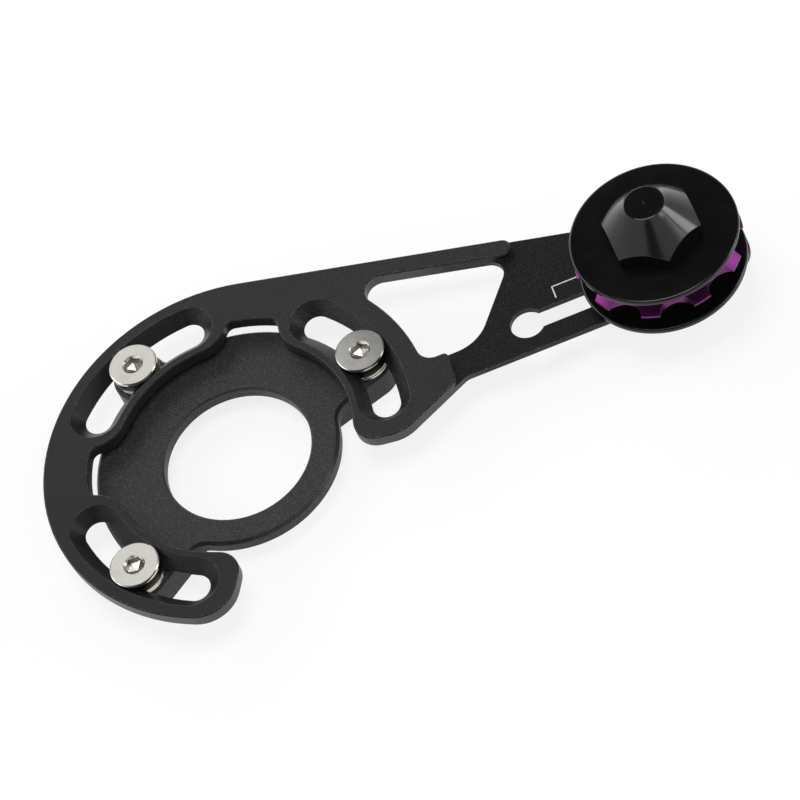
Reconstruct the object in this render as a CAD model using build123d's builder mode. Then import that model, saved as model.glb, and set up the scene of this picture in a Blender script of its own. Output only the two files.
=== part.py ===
from build123d import *
from math import cos, hypot, radians, sin, sqrt, tan
import os

os.makedirs("parts", exist_ok=True)

# Bicycle chain guide, in millimetres.
# The Z axis is the bottom bracket axis, and the mounting ring's back face lies at z = 0.
# +X runs along the arm, parallel to its slot, and +Z points away from the bicycle.

# Mounting ring
bore_radius = 17.5
bore_chamfer = 0.4
ring_wall = 6.6
ring_thickness = 3.0
ring_rim_gap = 0.6
ring_edge_chamfer = 0.7
ear_margin = 0.5
ear_depth = 6.8
ear_root_inset = 1.1
ear_open_fillet = 5.0
ear_wide_fillet = 2.0

# Clamp screws
screw_circle_radius = 36.1
screw_angle_right = 18.0
screw_angle_upper = 117.5
screw_angle_lower = 217.0
screw_radius = 3.0
screw_length = 10.0
screw_tip_chamfer = 0.6
thread_clearance = 0.04
head_radius = 5.83
head_rim_height = 0.7
head_proud = 0.4
head_edge_chamfer = 0.3
socket_across_flats = 4.0
socket_depth = 2.2
socket_rim_width = 0.55
socket_drill_depth = 0.7

# Shim washers, stacked between each ear and the plate
shims_per_screw = 2
shim_thickness = 0.5
shim_radius = 5.8
shim_hole_clearance = 0.25

# Guide plate: three curved slots round the ring
plate_thickness = 3.0
outer_wall = 2.97
inner_wall = 1.62
rim_width = 10.85
notch_fillet = 2.0
slot_half_angle = 24.2
slot_clearance = 0.3
countersink_clearance = 0.05
boss_overrun_angle = 1.6
end_overrun_angle = 3.0
end_corner_flat = 2.9
plate_edge_chamfer = 0.25

# Guide plate: window, stepped arm and its keyhole slot
arm_thickness = 1.5
upper_edge_angle = -15.85
lower_edge_angle = 27.3
bar_width = 4.6
bar_overrun = 1.1
bar_end_fillet = 2.2
window_wall = 1.6
step_inset = 5.95
step_window_fillet = 1.1
step_foot_fillet = 3.0
window_floor = 13.25
window_bottom = 1.8
window_side_angle = 54.7
window_left_fillet = 3.8
window_corner_fillet = 3.9
window_heel_fillet = 10.0
arm_wall = 5.2
arm_foot_fillet = 3.0
arm_end_wall = 8.9
arm_end_fillet = 6.0
slot_axis_y = 1.95
slot_run_out = 8.0
keyhole_wall = 7.95
keyhole_clearance = 0.15

# Pulley: axle, collar and the two guide discs
pulley_x = 105.5
bolt_radius = 2.42
bolt_head_radius = 3.9
bolt_head_height = 2.6
bolt_head_chamfer = 0.3
bolt_socket_across_flats = 3.0
bolt_socket_depth = 1.6
bolt_engagement = 8.5
bolt_end_room = 1.0
bolt_clearance = 0.08
collar_radius = 7.5
disc_clearance = 0.1
disc_inset = 0.15
disc_thickness = 1.5
disc_edge_fillet = 0.6
hex_across_flats = 19.75
hex_turn_angle = 2.3
hex_corner_height = 2.6
cone_height = 8.1
cone_top_radius = 4.75
cone_top_chamfer = 0.35
cone_dimple_radius = 0.3

# Toothed wheel
tooth_count = 10
chain_pitch = 12.7
gullet_radius = 4.2
tooth_tip_drop = 1.15
tooth_bevel_width = 2.4
tooth_tip_land = 0.5
tooth_lower_bevel = 0.2
first_tooth_angle = -41.3
wheel_thickness = 2.3
hub_wall = 3.5
hub_step = 2.3
hub_gap = 1.0

# Bearing in the wheel's hub
bearing_width = 5.0
inner_race_wall = 1.7
outer_race_wall = 1.7
race_edge_chamfer = 0.25
ball_radius = 1.45
groove_depth = 0.4
ball_count = 8
ball_clearance = 0.03
cage_wall = 0.9
cage_clearance = 0.15
cage_skirt = 0.7
shield_thickness = 0.25
shield_inset = 0.1
shield_clearance = 0.15
inner_spacer_height = 2.6
outer_spacer_height = 1.8
spacer_inset = 0.4

screw_angles = {"right": screw_angle_right, "upper": screw_angle_upper, "lower": screw_angle_lower}

# Heights that follow from these sizes
plate_bottom = ring_thickness + shims_per_screw * shim_thickness
plate_top = plate_bottom + plate_thickness
arm_top = plate_bottom + arm_thickness
head_top = plate_top + head_proud
head_cone_top = head_top - head_rim_height
ear_bottom = ring_thickness - ear_depth
inner_disc_bottom = plate_top + disc_clearance
inner_disc_top = inner_disc_bottom + disc_thickness
bearing_bottom = inner_disc_top + inner_spacer_height
bearing_top = bearing_bottom + bearing_width
bearing_middle = (bearing_bottom + bearing_top) / 2
wheel_bottom = bearing_bottom + hub_step
wheel_top = wheel_bottom + wheel_thickness
outer_disc_bottom = bearing_top + outer_spacer_height
outer_disc_top = outer_disc_bottom + disc_thickness
hub_top = outer_disc_bottom - hub_gap
cone_base = outer_disc_top + hex_corner_height
cone_top = cone_base + cone_height
bolt_tip = outer_disc_bottom + bolt_engagement
cage_crown = bearing_width / 2 - shield_inset - shield_thickness - cage_clearance

# Radii that follow from these sizes
screw_hole_radius = screw_radius + thread_clearance
slot_half_width = screw_radius + slot_clearance
slot_rim_half_width = head_radius + plate_top - head_cone_top + countersink_clearance
slot_cone_bottom = plate_top - (slot_rim_half_width - slot_half_width)
band_inner_radius = screw_circle_radius - slot_rim_half_width - inner_wall
band_outer_radius = screw_circle_radius + slot_rim_half_width + outer_wall
band_middle_radius = (band_inner_radius + band_outer_radius) / 2
band_width = band_outer_radius - band_inner_radius
notch_radius = band_outer_radius - rim_width
ring_open_radius = bore_radius + ring_wall
ring_wide_radius = notch_radius - ring_rim_gap
ear_half_width = shim_radius + ear_margin
ear_root_radius = ring_open_radius - ear_root_inset
bolt_hole_radius = bolt_radius + bolt_clearance
keyhole_radius = bolt_head_radius + keyhole_clearance
pitch_radius = chain_pitch / 2 / sin(radians(180 / tooth_count))
tooth_tip_radius = pitch_radius - tooth_tip_drop
tooth_shoulder_radius = tooth_tip_radius - tooth_bevel_width
disc_radius = tooth_tip_radius - disc_inset
hex_corner_radius = hex_across_flats / sqrt(3)
inner_race_radius = bolt_hole_radius + inner_race_wall
outer_race_bore = inner_race_radius + 2 * (ball_radius - groove_depth)
bearing_radius = outer_race_bore + outer_race_wall
hub_radius = bearing_radius + hub_wall
spacer_radius = inner_race_radius - spacer_inset
ball_circle_radius = (inner_race_radius + outer_race_bore) / 2
groove_radius = ball_radius + ball_clearance

# Places along the arm that follow from these sizes
window_arc_radius = band_outer_radius + window_wall
step_x = window_arc_radius + step_inset
window_foot = (window_arc_radius + window_floor, window_bottom)
keyhole_x = window_foot[0] + keyhole_wall + keyhole_radius
arm_slot_end = pulley_x + slot_run_out
arm_end = arm_slot_end + bolt_hole_radius + arm_end_wall
arm_lower_edge = slot_axis_y - bolt_hole_radius - arm_wall


def polar(radius, angle):
    return (radius * cos(radians(angle)), radius * sin(radians(angle)))


def along(point, length, angle):
    return (point[0] + length * cos(radians(angle)), point[1] + length * sin(radians(angle)))


def on_line(point, angle, x):
    """Point at x on the line through point."""
    return (x, point[1] + (x - point[0]) * tan(radians(angle)))


def crossing(point_a, angle_a, point_b, angle_b):
    """Point where two lines meet, each given by a point and a direction."""
    slope_a, slope_b = tan(radians(angle_a)), tan(radians(angle_b))
    x = (point_b[1] - point_a[1] + slope_a * point_a[0] - slope_b * point_b[0]) / (slope_a - slope_b)
    return on_line(point_a, angle_a, x)


def upright(point, angle=0):
    """Plane through the Z direction at point, whose x axis points away along angle."""
    return Plane((*point, 0), x_dir=(*polar(1, angle), 0), z_dir=(*polar(1, angle - 90), 0))


def at_radius(radius):
    """Selector for the vertices that lie at one distance from the Z axis."""
    return lambda vertex: abs(hypot(vertex.X, vertex.Y) - radius) < 0.01


pulley_centre = (pulley_x, slot_axis_y)
pulley_axis = Axis((*pulley_centre, 0), (0, 0, 1))
pulley_section = upright(pulley_centre)

# Mounting ring: wide between the three ears, narrow on its open side, with deep tapped ears
with BuildPart() as mounting_ring:
    with BuildSketch() as ring_outline:
        Circle(ring_open_radius)
        with BuildLine():
            wide_span = screw_angle_lower - screw_angle_right
            wide_arc = CenterArc((0, 0), ring_wide_radius, screw_angle_right, wide_span)
            Line(wide_arc @ 1, (0, 0))
            Line((0, 0), wide_arc @ 0)
        make_face()
        for angle in screw_angles.values():
            with Locations(polar(screw_circle_radius / 2, angle)):
                Rectangle(screw_circle_radius, 2 * ear_half_width, rotation=angle)
            with Locations(polar(screw_circle_radius, angle)):
                Circle(ear_half_width)
        fillet(ring_outline.vertices().filter_by(at_radius(ring_open_radius)), ear_open_fillet)
        fillet(ring_outline.vertices().filter_by(at_radius(ring_wide_radius)), ear_wide_fillet)
    extrude(amount=ring_thickness)
    chamfer(mounting_ring.faces().sort_by(Axis.Z)[-1].outer_wire().edges(), ring_edge_chamfer)
    with BuildSketch(Plane.XY.offset(ear_bottom)):
        for angle in screw_angles.values():
            with Locations(polar(screw_circle_radius / 2, angle)):
                Rectangle(screw_circle_radius, 2 * ear_half_width, rotation=angle)
            with Locations(polar(screw_circle_radius, angle)):
                Circle(ear_half_width)
        Circle(ear_root_radius, mode=Mode.SUBTRACT)
    extrude(amount=ear_depth - ring_edge_chamfer)
    with Locations((0, 0, ring_thickness)):
        Hole(bore_radius)
    for angle in screw_angles.values():
        with Locations((*polar(screw_circle_radius, angle), ring_thickness)):
            Hole(screw_hole_radius)
    bore_rims = mounting_ring.edges().filter_by(GeomType.CIRCLE)
    bore_rims = bore_rims.filter_by(lambda edge: abs(edge.radius - bore_radius) < 0.01)
    chamfer(bore_rims.sort_by(Axis.Z)[-1], bore_chamfer)
mounting_ring.part.label = "mounting_ring"
export_step(mounting_ring.part, "parts/mounting_ring.step")

# Guide plate: a band round the ring with three bosses, a bar and a lower branch that frame the window,
# and a thinner arm
upper_tangent = polar(band_outer_radius, 90 + upper_edge_angle)
bar_lower = along(upper_tangent, -bar_width, 90 + upper_edge_angle)
tail_end_angle = screw_angle_lower + slot_half_angle + end_overrun_angle
lobe_end_angle = screw_angle_right - slot_half_angle - end_overrun_angle
boss_half_angle = slot_half_angle + boss_overrun_angle
boss_spans = [
    (lobe_end_angle, screw_angle_right + boss_half_angle),
    (screw_angle_upper - boss_half_angle, screw_angle_upper + boss_half_angle),
    (screw_angle_lower - boss_half_angle, tail_end_angle),
]
lobe_centre = polar(band_middle_radius, lobe_end_angle)
lobe_tangent = along(lobe_centre, band_width / 2, lower_edge_angle - 90)
arm_foot = crossing(lobe_tangent, lower_edge_angle, (0, arm_lower_edge), 0)
step_foot = on_line(lobe_tangent, lower_edge_angle, step_x)
window_corner = crossing(window_foot, window_side_angle, bar_lower, upper_edge_angle)
bar_end = window_corner[0] + bar_overrun

with BuildPart() as guide_plate:
    with BuildSketch(Plane.XY.offset(plate_bottom)) as plate_outline:
        with BuildLine():
            rim_start, rim_end = boss_spans[0][1], boss_spans[2][0]
            rim_outer = CenterArc((0, 0), band_outer_radius, rim_start, rim_end - rim_start)
            rim_inner = CenterArc((0, 0), notch_radius, rim_start, rim_end - rim_start)
            Line(rim_outer @ 0, rim_inner @ 0)
            Line(rim_outer @ 1, rim_inner @ 1)
        make_face()
        for start, end in boss_spans:
            with BuildLine(mode=Mode.PRIVATE):
                boss_line = CenterArc((0, 0), band_middle_radius, start, end - start)
            SlotArc(boss_line, band_width)
        for end_angle, ahead in ((tail_end_angle, 90), (lobe_end_angle, -90)):
            end_middle = polar(band_middle_radius, end_angle)
            end_corner = along(polar(band_inner_radius, end_angle), band_width / 2, end_angle + ahead)
            with BuildSketch(mode=Mode.PRIVATE) as square_end:
                with Locations(along(end_middle, band_width / sqrt(8), end_angle + 1.5 * ahead)):
                    Rectangle(band_width / 2, band_width / 2, rotation=end_angle)
                corner_vertex = square_end.vertices().sort_by_distance(end_corner)[0]
                fillet(corner_vertex, band_width / 2 - end_corner_flat)
            add(square_end.sketch)
        with BuildLine():
            Polyline(
                upper_tangent,
                on_line(upper_tangent, upper_edge_angle, step_x),
                step_foot,
                lobe_tangent,
                lobe_centre,
                polar(band_outer_radius, screw_angle_right),
                close=True,
            )
        make_face()
        with BuildSketch(mode=Mode.PRIVATE) as bar:
            with BuildLine():
                Polyline(
                    upper_tangent,
                    on_line(upper_tangent, upper_edge_angle, bar_end),
                    on_line(bar_lower, upper_edge_angle, bar_end),
                    bar_lower,
                    close=True,
                )
            make_face()
            fillet(bar.vertices().sort_by(Axis.X)[-2:], bar_end_fillet)
        add(bar.sketch)
        fillet(plate_outline.vertices().filter_by(at_radius(notch_radius)), notch_fillet)
        fillet(plate_outline.vertices().sort_by_distance(step_foot)[0], step_foot_fillet)
    extrude(amount=plate_thickness)
    with BuildSketch(Plane.XY.offset(plate_bottom)) as arm_outline:
        with BuildLine():
            Polyline(
                on_line(upper_tangent, upper_edge_angle, window_arc_radius),
                on_line(upper_tangent, upper_edge_angle, arm_end),
                (arm_end, arm_lower_edge),
                arm_foot,
                on_line(lobe_tangent, lower_edge_angle, window_arc_radius),
                close=True,
            )
        make_face()
        fillet(arm_outline.vertices().sort_by(Axis.X)[-2:], arm_end_fillet)
        fillet(arm_outline.vertices().sort_by_distance(arm_foot)[0], arm_foot_fillet)
    extrude(amount=arm_thickness)
    with BuildSketch(Plane.XY.offset(plate_bottom)) as window:
        with BuildLine():
            heel_x = sqrt(window_arc_radius**2 - window_bottom**2)
            top_reach = sqrt(window_arc_radius**2 - (band_outer_radius - bar_width) ** 2)
            top_left = along(bar_lower, top_reach, upper_edge_angle)
            RadiusArc(top_left, (heel_x, window_bottom), window_arc_radius)
            Polyline((heel_x, window_bottom), window_foot, window_corner, top_left)
        make_face()
        fillet(window.vertices().sort_by_distance(window_foot)[0], window_heel_fillet)
        fillet(window.vertices().sort_by_distance(window_corner)[0], window_corner_fillet)
        fillet(window.vertices().sort_by_distance(top_left)[0], window_left_fillet)
        fillet(window.vertices().sort_by_distance((heel_x, window_bottom))[0], window_left_fillet)
        with Locations(((keyhole_x + arm_slot_end) / 2, slot_axis_y)):
            SlotCenterToCenter(arm_slot_end - keyhole_x, 2 * bolt_hole_radius)
        with Locations((keyhole_x, slot_axis_y)):
            Circle(keyhole_radius)
    extrude(amount=plate_thickness, mode=Mode.SUBTRACT)
    step_corner = (step_x, window_bottom, (arm_top + plate_top) / 2)
    fillet(guide_plate.edges().filter_by(Axis.Z).sort_by_distance(step_corner)[0], step_window_fillet)
    chamfer(guide_plate.faces().sort_by(Axis.Z)[-1].outer_wire().edges(), plate_edge_chamfer)
    for angle in screw_angles.values():
        slot_start = angle - slot_half_angle
        with BuildSketch(upright((0, 0), slot_start)):
            with BuildLine():
                Polyline(
                    (screw_circle_radius - slot_half_width, plate_bottom),
                    (screw_circle_radius - slot_half_width, slot_cone_bottom),
                    (screw_circle_radius - slot_rim_half_width, plate_top),
                    (screw_circle_radius + slot_rim_half_width, plate_top),
                    (screw_circle_radius + slot_half_width, slot_cone_bottom),
                    (screw_circle_radius + slot_half_width, plate_bottom),
                    close=True,
                )
            make_face()
        revolve(axis=Axis.Z, revolution_arc=2 * slot_half_angle, mode=Mode.SUBTRACT)
        for end_angle in (slot_start, angle + slot_half_angle):
            end = polar(screw_circle_radius, end_angle)
            with BuildSketch(upright(end)):
                with BuildLine():
                    Polyline(
                        (0, plate_bottom),
                        (slot_half_width, plate_bottom),
                        (slot_half_width, slot_cone_bottom),
                        (slot_rim_half_width, plate_top),
                        (0, plate_top),
                        close=True,
                    )
                make_face()
            revolve(axis=Axis((*end, 0), (0, 0, 1)), mode=Mode.SUBTRACT)
guide_plate.part.label = "guide_plate"
export_step(guide_plate.part, "parts/guide_plate.step")

# Clamp screws: countersunk heads that stand a little proud of the plate
for side, angle in screw_angles.items():
    centre = polar(screw_circle_radius, angle)
    with BuildPart() as clamp_screw:
        with BuildSketch(upright(centre)):
            with BuildLine():
                tip = head_top - screw_length
                Polyline(
                    (0, tip),
                    (screw_radius - screw_tip_chamfer, tip),
                    (screw_radius, tip + screw_tip_chamfer),
                    (screw_radius, head_cone_top - (head_radius - screw_radius)),
                    (head_radius, head_cone_top),
                    (head_radius, head_top - head_edge_chamfer),
                    (head_radius - head_edge_chamfer, head_top),
                    (0, head_top),
                    close=True,
                )
            make_face()
        revolve(axis=Axis((*centre, 0), (0, 0, 1)))
        with BuildSketch(Plane.XY.offset(head_top)):
            with Locations(centre):
                RegularPolygon(socket_across_flats / 2, 6, major_radius=False, rotation=angle)
        extrude(amount=-socket_depth, mode=Mode.SUBTRACT)
        with Locations((*centre, head_top)):
            Cone(socket_across_flats / 2, socket_across_flats / 2 + socket_rim_width, socket_rim_width,
                 align=(Align.CENTER, Align.CENTER, Align.MAX), mode=Mode.SUBTRACT)
        with Locations((*centre, head_top - socket_depth)):
            Cone(0, socket_across_flats / 2, socket_drill_depth,
                 align=(Align.CENTER, Align.CENTER, Align.MAX), mode=Mode.SUBTRACT)
    clamp_screw.part.label = f"clamp_screw_{side}"
    export_step(clamp_screw.part, f"parts/clamp_screw_{side}.step")

# Shim washers under the plate, stacked round each screw
for side, angle in screw_angles.items():
    for layer in range(shims_per_screw):
        with BuildPart() as shim:
            with BuildSketch(Plane.XY.offset(ring_thickness + layer * shim_thickness)):
                with Locations(polar(screw_circle_radius, angle)):
                    Circle(shim_radius)
                    Circle(screw_radius + shim_hole_clearance, mode=Mode.SUBTRACT)
            extrude(amount=shim_thickness)
        shim.part.label = f"shim_washer_{side}_{layer + 1}"
        export_step(shim.part, f"parts/shim_washer_{side}_{layer + 1}.step")

# Axle bolt, put in from the back of the arm
with BuildPart() as axle_bolt:
    with BuildSketch(pulley_section):
        with BuildLine():
            head_bottom = plate_bottom - bolt_head_height
            Polyline(
                (0, head_bottom),
                (bolt_head_radius - bolt_head_chamfer, head_bottom),
                (bolt_head_radius, head_bottom + bolt_head_chamfer),
                (bolt_head_radius, plate_bottom),
                (bolt_radius, plate_bottom),
                (bolt_radius, bolt_tip),
                (0, bolt_tip),
                close=True,
            )
        make_face()
    revolve(axis=pulley_axis)
    with BuildSketch(Plane.XY.offset(head_bottom)):
        with Locations(pulley_centre):
            RegularPolygon(bolt_socket_across_flats / 2, 6, major_radius=False)
    extrude(amount=bolt_socket_depth, mode=Mode.SUBTRACT)
axle_bolt.part.label = "axle_bolt"
export_step(axle_bolt.part, "parts/axle_bolt.step")

# Plain rings that the axle bolt clamps: the collar on the arm and the spacers on both sides of the bearing
clamped_rings = {
    "arm_collar": (collar_radius, arm_top, inner_disc_bottom),
    "inner_spacer": (spacer_radius, inner_disc_top, bearing_bottom),
    "outer_spacer": (spacer_radius, bearing_top, outer_disc_bottom),
}
for name, (radius, bottom, top) in clamped_rings.items():
    with BuildPart() as clamped_ring:
        with BuildSketch(Plane.XY.offset(bottom)):
            with Locations(pulley_centre):
                Circle(radius)
                Circle(bolt_hole_radius, mode=Mode.SUBTRACT)
        extrude(amount=top - bottom)
    clamped_ring.part.label = name
    export_step(clamped_ring.part, f"parts/{name}.step")

# Inner guide disc, on the arm's side
with BuildPart() as inner_guide_disc:
    with BuildSketch(Plane.XY.offset(inner_disc_bottom)):
        with Locations(pulley_centre):
            Circle(disc_radius)
            Circle(bolt_hole_radius, mode=Mode.SUBTRACT)
    extrude(amount=disc_thickness)
    disc_rims = inner_guide_disc.edges().filter_by(GeomType.CIRCLE).group_by(SortBy.RADIUS)[-1]
    fillet(disc_rims, disc_edge_fillet)
inner_guide_disc.part.label = "inner_guide_disc"
export_step(inner_guide_disc.part, "parts/inner_guide_disc.step")

# Outer guide disc: a hexagonal boss turned to a cone, with a blind thread for the axle bolt
with BuildPart() as outer_guide_disc:
    with BuildSketch(Plane.XY.offset(outer_disc_bottom)):
        with Locations(pulley_centre):
            RegularPolygon(hex_across_flats / 2, 6, major_radius=False, rotation=30 + hex_turn_angle)
    extrude(amount=cone_top - outer_disc_bottom)
    with BuildSketch(pulley_section):
        with BuildLine():
            cone_flare = (hex_corner_radius - cone_top_radius) / cone_height
            Polyline(
                (0, outer_disc_bottom),
                (cone_top_radius + cone_flare * (cone_top - outer_disc_bottom), outer_disc_bottom),
                (cone_top_radius, cone_top),
                (0, cone_top),
                close=True,
            )
        make_face()
    revolve(axis=pulley_axis, mode=Mode.INTERSECT)
    chamfer(outer_guide_disc.faces().sort_by(Axis.Z)[-1].edges(), cone_top_chamfer)
    with Locations((*pulley_centre, cone_top)):
        Sphere(cone_dimple_radius, mode=Mode.SUBTRACT)
    with BuildSketch(Plane.XY.offset(outer_disc_bottom)):
        with Locations(pulley_centre):
            Circle(disc_radius)
    extrude(amount=disc_thickness)
    disc_rims = outer_guide_disc.edges().filter_by(GeomType.CIRCLE).group_by(SortBy.RADIUS)[-1]
    fillet(disc_rims, disc_edge_fillet)
    with BuildSketch(Plane.XY.offset(outer_disc_bottom)):
        with Locations(pulley_centre):
            Circle(bolt_radius + thread_clearance)
    extrude(amount=bolt_engagement + bolt_end_room, mode=Mode.SUBTRACT)
outer_guide_disc.part.label = "outer_guide_disc"
export_step(outer_guide_disc.part, "parts/outer_guide_disc.step")

# Toothed wheel: a turned blank with bevelled teeth, its gullets spaced by the chain's pitch
with BuildPart() as toothed_wheel:
    with BuildSketch(pulley_section):
        with BuildLine():
            tip_bottom = wheel_bottom + tooth_lower_bevel
            Polyline(
                (bearing_radius, bearing_bottom),
                (hub_radius, bearing_bottom),
                (hub_radius, wheel_bottom),
                (tooth_shoulder_radius, wheel_bottom),
                (tooth_tip_radius, tip_bottom),
                (tooth_tip_radius, tip_bottom + tooth_tip_land),
                (tooth_shoulder_radius, wheel_top),
                (hub_radius, wheel_top),
                (hub_radius, hub_top),
                (outer_race_bore, hub_top),
                (outer_race_bore, bearing_top),
                (bearing_radius, bearing_top),
                close=True,
            )
        make_face()
    revolve(axis=pulley_axis)
    with BuildSketch(Plane.XY.offset(wheel_bottom)):
        with Locations(pulley_centre):
            first_gullet = first_tooth_angle + 180 / tooth_count
            with PolarLocations(pitch_radius, tooth_count, start_angle=first_gullet):
                Circle(gullet_radius)
    extrude(amount=wheel_thickness, mode=Mode.SUBTRACT)
toothed_wheel.part.label = "toothed_wheel"
export_step(toothed_wheel.part, "parts/toothed_wheel.step")

# Bearing races, each with a groove for the balls
races = {
    "bearing_inner_race": (bolt_hole_radius, inner_race_radius),
    "bearing_outer_race": (outer_race_bore, bearing_radius),
}
for name, (inside, outside) in races.items():
    with BuildPart() as race:
        with BuildSketch(pulley_section) as race_section:
            with Locations(((inside + outside) / 2, bearing_middle)):
                Rectangle(outside - inside, bearing_width)
            chamfer(race_section.vertices(), race_edge_chamfer)
            with Locations((ball_circle_radius, bearing_middle)):
                Circle(groove_radius, mode=Mode.SUBTRACT)
        revolve(axis=pulley_axis)
    race.part.label = name
    export_step(race.part, f"parts/{name}.step")

# Bearing balls, one group
with BuildPart() as bearing_balls:
    with Locations((*pulley_centre, bearing_middle)):
        with PolarLocations(ball_circle_radius, ball_count):
            Sphere(ball_radius)
bearing_balls.part.label = "bearing_balls"
export_step(bearing_balls.part, "parts/bearing_balls.step")

# Bearing cage: a crown with open pockets
with BuildPart() as bearing_cage:
    with BuildSketch(Plane.XY.offset(bearing_middle - cage_skirt)):
        with Locations(pulley_centre):
            Circle(ball_circle_radius + cage_wall / 2)
            Circle(ball_circle_radius - cage_wall / 2, mode=Mode.SUBTRACT)
    extrude(amount=cage_skirt + cage_crown)
    with Locations((*pulley_centre, bearing_middle)):
        with PolarLocations(ball_circle_radius, ball_count):
            Sphere(groove_radius, mode=Mode.SUBTRACT)
bearing_cage.part.label = "bearing_cage"
export_step(bearing_cage.part, "parts/bearing_cage.step")

# Bearing shields, held in the outer race and clear of the inner one
shield_bottoms = {
    "bearing_shield_inner": bearing_bottom + shield_inset,
    "bearing_shield_outer": bearing_top - shield_inset - shield_thickness,
}
for name, bottom in shield_bottoms.items():
    with BuildPart() as shield:
        with BuildSketch(Plane.XY.offset(bottom)):
            with Locations(pulley_centre):
                Circle(outer_race_bore)
                Circle(inner_race_radius + shield_clearance, mode=Mode.SUBTRACT)
        extrude(amount=shield_thickness)
    shield.part.label = name
    export_step(shield.part, f"parts/{name}.step")
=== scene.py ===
import math

import bmesh
import bpy
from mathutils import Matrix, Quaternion, Vector


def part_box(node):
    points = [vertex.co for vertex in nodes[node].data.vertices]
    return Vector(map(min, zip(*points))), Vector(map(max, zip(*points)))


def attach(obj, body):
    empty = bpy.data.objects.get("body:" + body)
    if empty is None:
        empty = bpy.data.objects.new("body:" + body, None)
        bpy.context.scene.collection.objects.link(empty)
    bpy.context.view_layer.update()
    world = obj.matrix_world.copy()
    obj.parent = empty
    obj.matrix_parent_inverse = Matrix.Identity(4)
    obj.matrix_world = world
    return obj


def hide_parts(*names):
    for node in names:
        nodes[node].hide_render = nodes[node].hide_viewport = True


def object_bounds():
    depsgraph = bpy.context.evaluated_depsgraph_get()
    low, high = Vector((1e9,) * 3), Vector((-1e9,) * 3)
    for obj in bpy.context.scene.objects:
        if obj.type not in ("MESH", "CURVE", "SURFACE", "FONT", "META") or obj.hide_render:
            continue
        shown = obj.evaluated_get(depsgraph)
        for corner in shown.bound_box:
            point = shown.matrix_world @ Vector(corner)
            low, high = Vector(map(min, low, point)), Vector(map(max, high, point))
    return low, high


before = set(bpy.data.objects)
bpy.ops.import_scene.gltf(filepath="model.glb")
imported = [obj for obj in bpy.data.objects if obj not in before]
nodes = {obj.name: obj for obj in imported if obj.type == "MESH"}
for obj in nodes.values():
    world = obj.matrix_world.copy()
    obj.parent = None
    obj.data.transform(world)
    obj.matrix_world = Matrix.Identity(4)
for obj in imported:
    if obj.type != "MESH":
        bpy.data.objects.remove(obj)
cadLow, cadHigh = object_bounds()
mm = 0.001  # sizes below are in millimetres unless a note says otherwise, and angles are in degrees
print("frame loaded:", len(nodes), "nodes")

bpy.context.scene.view_settings.view_transform = "Standard"


def linearColour(hexText):
    # from sRGB, by the standard's own formula
    channels = [int(hexText[i:i + 2], 16) / 255 for i in (1, 3, 5)]
    return tuple(c / 12.92 if c <= 0.04045 else ((c + 0.055) / 1.055) ** 2.4 for c in channels) + (1.0,)


def addNode(tree, kind, inputs=None, steps=(), **settings):
    # inputs are values or sockets to link from, steps are the (place, hex colour) stops of a colour ramp
    node = tree.nodes.new(kind)
    for name, value in settings.items():
        setattr(node, name, value)
    for name, value in (inputs or {}).items():
        if isinstance(value, bpy.types.NodeSocket):
            tree.links.new(value, node.inputs[name])
        else:
            node.inputs[name].default_value = value
    for i, (place, hexText) in enumerate(steps):
        stops = node.color_ramp.elements
        stop = stops[i] if i < len(stops) else stops.new(place)
        stop.position = place
        stop.color = linearColour(hexText)
    return node


def startMaterial(name):
    material = bpy.data.materials.new(name)
    material.use_nodes = True
    tree = material.node_tree
    tree.nodes.clear()
    return material, tree


def finishMaterial(tree, shader):
    addNode(tree, "ShaderNodeOutputMaterial", {"Surface": shader.outputs["BSDF"]})


def patternScale(size):
    # texture scale for features of this size
    return 1 / (size * mm)


noiseLow, noiseMiddle, noiseHigh = 0.3, 0.5, 0.7  # nearly all of a noise texture's values lie in this range

# where the pulley turns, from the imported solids, in metres
discLow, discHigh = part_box("outer_guide_disc")
pulleyCentre = Vector(((discLow.x + discHigh.x) / 2, (discLow.y + discHigh.y) / 2, 0))


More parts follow.
